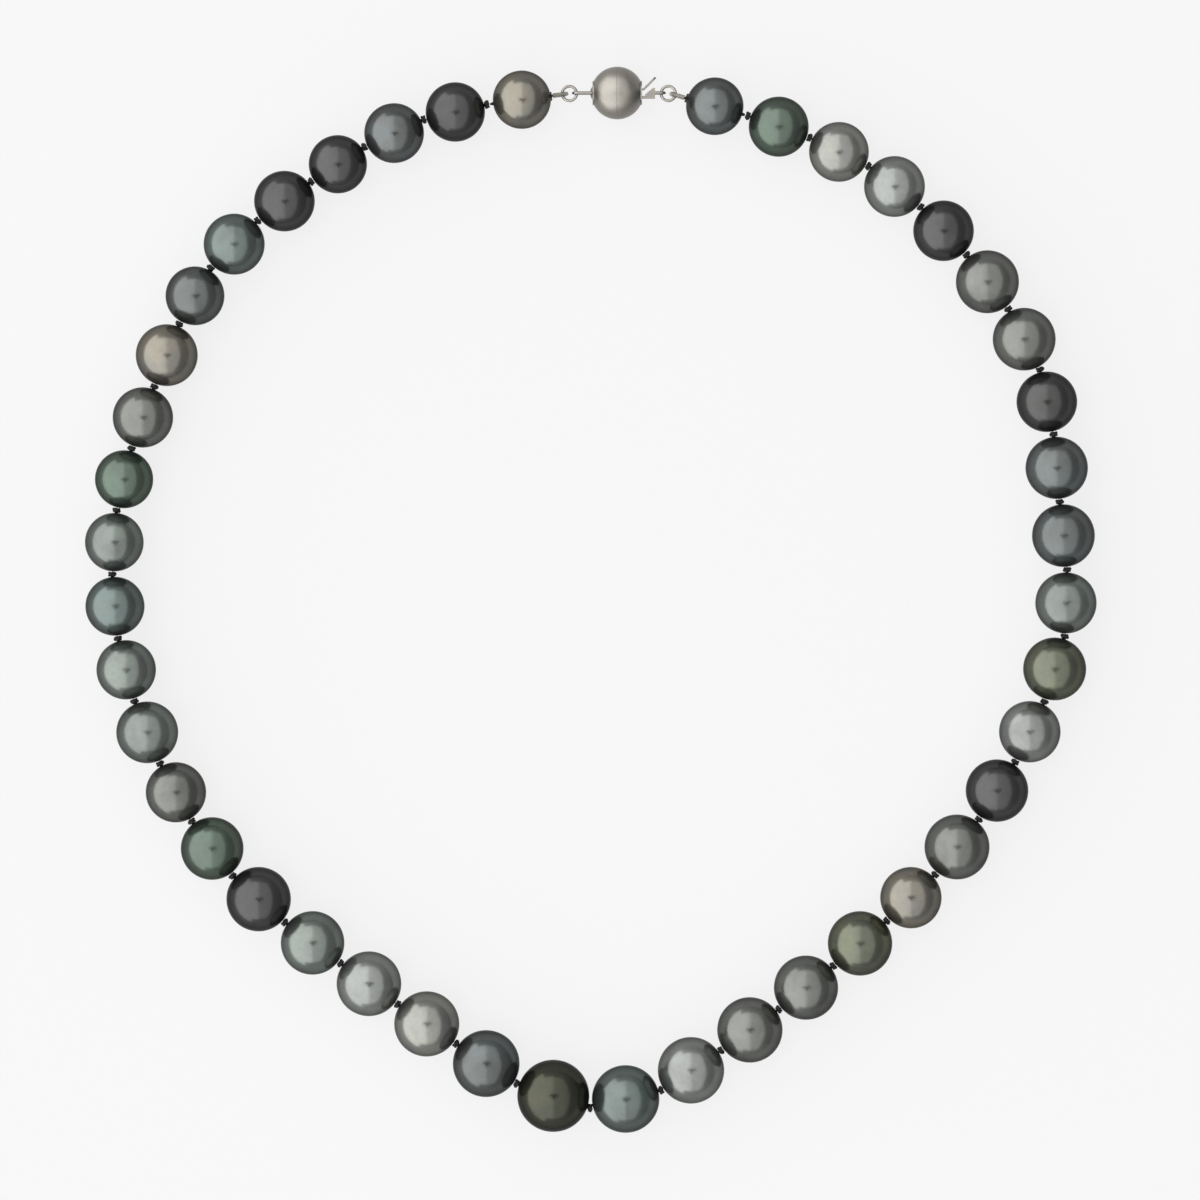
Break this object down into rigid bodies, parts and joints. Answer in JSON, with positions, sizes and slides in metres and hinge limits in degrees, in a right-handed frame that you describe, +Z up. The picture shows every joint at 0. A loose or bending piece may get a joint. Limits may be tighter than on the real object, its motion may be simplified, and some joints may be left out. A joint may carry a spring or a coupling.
{
  "type": "pearl necklace",
  "caption": "Knotted single strand of round dark multicolour pearls, graduated to one larger front pearl, closed by a satin ball clasp with a thumb lever.",
  "frame": {"origin": "on the surface that the closed strand lies on, under the middle of its bounding box", "axes": "+Z up out of the surface, +Y from the front pearl to the clasp, +X to the right seen from above"},
  "size_m": [0.1539, 0.1622, 0.011],
  "materials": {
    "nacre_charcoal": "polished",
    "nacre_blackolive": "polished",
    "nacre_slate": "polished",
    "nacre_olive": "polished",
    "nacre_peacock": "polished",
    "nacre_teal": "polished",
    "nacre_graphite": "polished",
    "nacre_sage": "polished",
    "nacre_silver": "polished",
    "nacre_champagne": "polished",
    "nacre_pale": "polished",
    "white_gold": "satin",
    "ring_wire": "gloss",
    "gimp_wire": "gloss"
  },
  "bodies": {
    "pearl_22": {"pearl_22": "nacre_blackolive"},
    "pearls_20_21": {"pearl_20": "nacre_pale", "pearl_21": "nacre_slate"},
    "pearls_17_19": {"pearl_17": "nacre_charcoal", "pearl_18": "nacre_sage", "pearl_19": "nacre_silver"},
    "pearls_15_16": {"pearl_15": "nacre_graphite", "pearl_16": "nacre_peacock"},
    "pearls_13_14": {"pearl_13": "nacre_sage", "pearl_14": "nacre_sage"},
    "pearls_11_12": {"pearl_11": "nacre_sage", "pearl_12": "nacre_teal"},
    "pearls_09_10": {"pearl_09": "nacre_graphite", "pearl_10": "nacre_peacock"},
    "pearls_07_08": {"pearl_07": "nacre_slate", "pearl_08": "nacre_champagne"},
    "pearls_05_06": {"pearl_05": "nacre_charcoal", "pearl_06": "nacre_teal"},
    "pearls_03_04": {"pearl_03": "nacre_slate", "pearl_04": "nacre_charcoal"},
    "pearl_02": {"pearl_02": "nacre_charcoal"},
    "pearl_01": {"pearl_01": "nacre_champagne", "gimp_left": "gimp_wire"},
    "pearl_23": {"pearl_23": "nacre_teal"},
    "pearls_24_26": {"pearl_24": "nacre_silver", "pearl_25": "nacre_graphite", "pearl_26": "nacre_graphite"},
    "pearls_27_28": {"pearl_27": "nacre_olive", "pearl_28": "nacre_champagne"},
    "pearls_29_30": {"pearl_29": "nacre_graphite", "pearl_30": "nacre_charcoal"},
    "pearls_31_32": {"pearl_31": "nacre_silver", "pearl_32": "nacre_olive"},
    "pearls_33_34": {"pearl_33": "nacre_sage", "pearl_34": "nacre_slate"},
    "pearls_35_36": {"pearl_35": "nacre_teal", "pearl_36": "nacre_charcoal"},
    "pearls_37_38": {"pearl_37": "nacre_graphite", "pearl_38": "nacre_graphite"},
    "pearls_39_40": {"pearl_39": "nacre_charcoal", "pearl_40": "nacre_silver"},
    "pearls_41_42": {"pearl_41": "nacre_pale", "pearl_42": "nacre_peacock"},
    "pearl_43": {"pearl_43": "nacre_teal", "gimp_right": "gimp_wire"},
    "jump_ring_left": {"jump_ring_left": "ring_wire"},
    "jump_ring_right": {"jump_ring_right": "ring_wire"},
    "clasp_ball": {"clasp_half_shell_left": "white_gold", "clasp_half_shell_right": "white_gold", "clasp_end_cap": "white_gold", "clasp_bail": "white_gold", "clasp_mouth_plate": "white_gold"},
    "clasp_tongue": {"tongue_base": "white_gold", "tongue_bail": "white_gold"},
    "clasp_lever": {"tongue_spring_leaf": "white_gold"}
  },
  "joints": [
    {"name": "strand_opening", "type": "hinge", "parent": "pearl_22", "child": "pearl_23", "pos_m": [-0.00009, -0.07727, 0.00532], "axis": [0, 0, -1], "range_deg": [0, 27.32]},
    {"name": "knot_hinge_23_24", "type": "hinge", "parent": "pearl_23", "child": "pearls_24_26", "pos_m": [0.01069, -0.0746, 0.00511], "axis": [0, 0, -1], "range_deg": [0, 18.56]},
    {"name": "knot_hinge_26_27", "type": "hinge", "parent": "pearls_24_26", "child": "pearls_27_28", "pos_m": [0.03688, -0.05572, 0.00491], "axis": [0, 0, -1], "range_deg": [0, 4.29]},
    {"name": "knot_hinge_28_29", "type": "hinge", "parent": "pearls_27_28", "child": "pearls_29_30", "pos_m": [0.05237, -0.04184, 0.00482], "axis": [0, 0, -1], "range_deg": [0, 10.87]},
    {"name": "knot_hinge_30_31", "type": "hinge", "parent": "pearls_29_30", "child": "pearls_31_32", "pos_m": [0.06456, -0.0247, 0.00473], "axis": [0, 0, -1], "range_deg": [0, 11.83]},
    {"name": "knot_hinge_32_33", "type": "hinge", "parent": "pearls_31_32", "child": "pearls_33_34", "pos_m": [0.0721, -0.0056, 0.00474], "axis": [0, 0, -1], "range_deg": [0, 22.95]},
    {"name": "knot_hinge_34_35", "type": "hinge", "parent": "pearls_33_34", "child": "pearls_35_36", "pos_m": [0.07131, 0.01487, 0.00478], "axis": [0, 0, -1], "range_deg": [0, 6.8]},
    {"name": "knot_hinge_36_37", "type": "hinge", "parent": "pearls_35_36", "child": "pearls_37_38", "pos_m": [0.06834, 0.03499, 0.00471], "axis": [0, 0, -1], "range_deg": [0, 21.79]},
    {"name": "knot_hinge_38_39", "type": "hinge", "parent": "pearls_37_38", "child": "pearls_39_40", "pos_m": [0.05715, 0.05245, 0.00472], "axis": [0, 0, -1], "range_deg": [0, 15.06]},
    {"name": "knot_hinge_40_41", "type": "hinge", "parent": "pearls_39_40", "child": "pearls_41_42", "pos_m": [0.04222, 0.06592, 0.00461], "axis": [0, 0, -1], "range_deg": [0, 18.6]},
    {"name": "knot_hinge_42_43", "type": "hinge", "parent": "pearls_41_42", "child": "pearl_43", "pos_m": [0.0239, 0.07359, 0.00449], "axis": [0, 0, -1], "range_deg": [0, 8.65]},
    {"name": "gimp_hinge_right", "type": "hinge", "parent": "pearl_43", "child": "jump_ring_right", "pos_m": [0.01228, 0.07695, 0.004], "axis": [0, 0, -1], "range_deg": [0, 7.08]},
    {"name": "bail_hinge_right", "type": "hinge", "parent": "jump_ring_right", "child": "clasp_tongue", "pos_m": [0.01123, 0.0771, 0.004], "axis": [0, 0, -1], "range_deg": [0, 7.06]},
    {"name": "knot_hinge_21_22", "type": "hinge", "parent": "pearl_22", "child": "pearls_20_21", "pos_m": [-0.01129, -0.07358, 0.0053], "axis": [0, 0, 1], "range_deg": [0, 13.2]},
    {"name": "knot_hinge_19_20", "type": "hinge", "parent": "pearls_20_21", "child": "pearls_17_19", "pos_m": [-0.02938, -0.06153, 0.00495], "axis": [0, 0, 1], "range_deg": [0, 1.81]},
    {"name": "knot_hinge_16_17", "type": "hinge", "parent": "pearls_17_19", "child": "pearls_15_16", "pos_m": [-0.05447, -0.04202, 0.00485], "axis": [0, 0, 1], "range_deg": [0, 12.89]},
    {"name": "knot_hinge_14_15", "type": "hinge", "parent": "pearls_15_16", "child": "pearls_13_14", "pos_m": [-0.06551, -0.02495, 0.00466], "axis": [0, 0, 1], "range_deg": [0, 10.86]},
    {"name": "knot_hinge_12_13", "type": "hinge", "parent": "pearls_13_14", "child": "pearls_11_12", "pos_m": [-0.07194, -0.00592, 0.00452], "axis": [0, 0, 1], "range_deg": [0, 12.71]},
    {"name": "knot_hinge_10_11", "type": "hinge", "parent": "pearls_11_12", "child": "pearls_09_10", "pos_m": [-0.07214, 0.01358, 0.00446], "axis": [0, 0, 1], "range_deg": [0, 13.85]},
    {"name": "knot_hinge_08_09", "type": "hinge", "parent": "pearls_09_10", "child": "pearls_07_08", "pos_m": [-0.06638, 0.03239, 0.00467], "axis": [0, 0, 1], "range_deg": [0, 6.08]},
    {"name": "knot_hinge_06_07", "type": "hinge", "parent": "pearls_07_08", "child": "pearls_05_06", "pos_m": [-0.05782, 0.05047, 0.00458], "axis": [0, 0, 1], "range_deg": [0, 17.77]},
    {"name": "knot_hinge_04_05", "type": "hinge", "parent": "pearls_05_06", "child": "pearls_03_04", "pos_m": [-0.04253, 0.06356, 0.00454], "axis": [0, 0, 1], "range_deg": [0, 9.22]},
    {"name": "knot_hinge_02_03", "type": "hinge", "parent": "pearls_03_04", "child": "pearl_02", "pos_m": [-0.0254, 0.07302, 0.00455], "axis": [0, 0, 1], "range_deg": [0, 16.08]},
    {"name": "knot_hinge_01_02", "type": "hinge", "parent": "pearl_02", "child": "pearl_01", "pos_m": [-0.0158, 0.0753, 0.00449], "axis": [0, 0, 1], "range_deg": [0, 4.61]},
    {"name": "gimp_hinge_left", "type": "hinge", "parent": "pearl_01", "child": "jump_ring_left", "pos_m": [-0.00372, 0.07696, 0.004], "axis": [0, 0, 1], "range_deg": [0, 1.29]},
    {"name": "bail_hinge_left", "type": "hinge", "parent": "jump_ring_left", "child": "clasp_ball", "pos_m": [-0.00267, 0.07708, 0.004], "axis": [0, 0, 1], "range_deg": [0, 5.28]},
    {"name": "clasp_lever_press", "type": "hinge", "parent": "clasp_tongue", "child": "clasp_lever", "pos_m": [0.00183, 0.07674, 0.004], "axis": [0, 0, -1], "range_deg": [0, 6.6], "stiffness_Nm_per_rad": 0.12}
  ],
  "couplings": [
    {"joint": "knot_hinge_23_24", "follows": "strand_opening", "ratio": 0.67851},
    {"joint": "knot_hinge_26_27", "follows": "strand_opening", "ratio": 0.15638},
    {"joint": "knot_hinge_28_29", "follows": "strand_opening", "ratio": 0.39723},
    {"joint": "knot_hinge_30_31", "follows": "strand_opening", "ratio": 0.4324},
    {"joint": "knot_hinge_32_33", "follows": "strand_opening", "ratio": 0.83934},
    {"joint": "knot_hinge_34_35", "follows": "strand_opening", "ratio": 0.24817},
    {"joint": "knot_hinge_36_37", "follows": "strand_opening", "ratio": 0.79674},
    {"joint": "knot_hinge_38_39", "follows": "strand_opening", "ratio": 0.55068},
    {"joint": "knot_hinge_40_41", "follows": "strand_opening", "ratio": 0.68014},
    {"joint": "knot_hinge_42_43", "follows": "strand_opening", "ratio": 0.31578},
    {"joint": "gimp_hinge_right", "follows": "strand_opening", "ratio": 0.25851},
    {"joint": "bail_hinge_right", "follows": "strand_opening", "ratio": 0.25783},
    {"joint": "knot_hinge_21_22", "follows": "strand_opening", "ratio": 0.48261},
    {"joint": "knot_hinge_19_20", "follows": "strand_opening", "ratio": 0.06561},
    {"joint": "knot_hinge_16_17", "follows": "strand_opening", "ratio": 0.471},
    {"joint": "knot_hinge_14_15", "follows": "strand_opening", "ratio": 0.3967},
    {"joint": "knot_hinge_12_13", "follows": "strand_opening", "ratio": 0.46467},
    {"joint": "knot_hinge_10_11", "follows": "strand_opening", "ratio": 0.50606},
    {"joint": "knot_hinge_08_09", "follows": "strand_opening", "ratio": 0.22182},
    {"joint": "knot_hinge_06_07", "follows": "strand_opening", "ratio": 0.64966},
    {"joint": "knot_hinge_04_05", "follows": "strand_opening", "ratio": 0.33686},
    {"joint": "knot_hinge_02_03", "follows": "strand_opening", "ratio": 0.58785},
    {"joint": "knot_hinge_01_02", "follows": "strand_opening", "ratio": 0.16803},
    {"joint": "gimp_hinge_left", "follows": "strand_opening", "ratio": 0.04656},
    {"joint": "bail_hinge_left", "follows": "strand_opening", "ratio": 0.19264}
  ]
}
